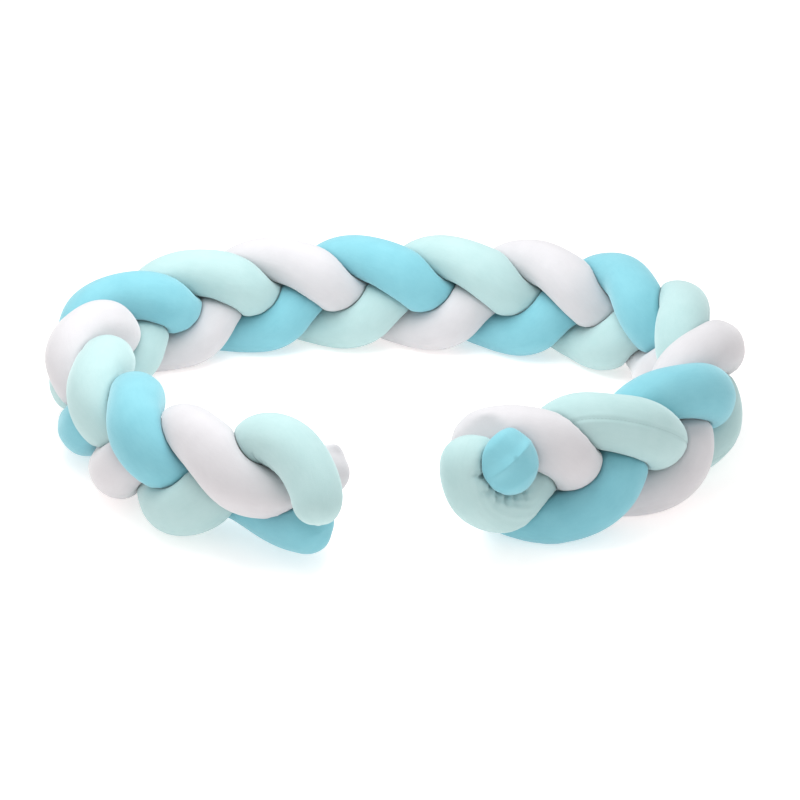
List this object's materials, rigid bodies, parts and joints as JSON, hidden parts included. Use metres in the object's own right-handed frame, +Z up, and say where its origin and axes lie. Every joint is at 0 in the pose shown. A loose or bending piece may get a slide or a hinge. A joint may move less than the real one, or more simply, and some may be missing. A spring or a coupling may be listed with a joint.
{
  "type": "crib bumper",
  "caption": "Filled cloth strands in turquoise, mint and white, plaited and bent on edge in an open oval, soft edge padding for a cot.",
  "frame": {"origin": "centre of the loop's box in plan, on the floor that the loop rests on", "axes": "+Z up, +X along the loop's longer way, -Y towards the gap between its two ends"},
  "size_m": [0.9541, 0.7556, 0.1828],
  "materials": {
    "mint_pile": "soft short pile, matt with a faint sheen",
    "white_pile": "soft short pile, matt with a faint sheen",
    "turquoise_pile": "soft short pile, matt with a faint sheen"
  },
  "bodies": {
    "root": {"strand_mint": "mint_pile", "strand_white": "white_pile", "strand_turquoise": "turquoise_pile"}
  },
  "joints": []
}
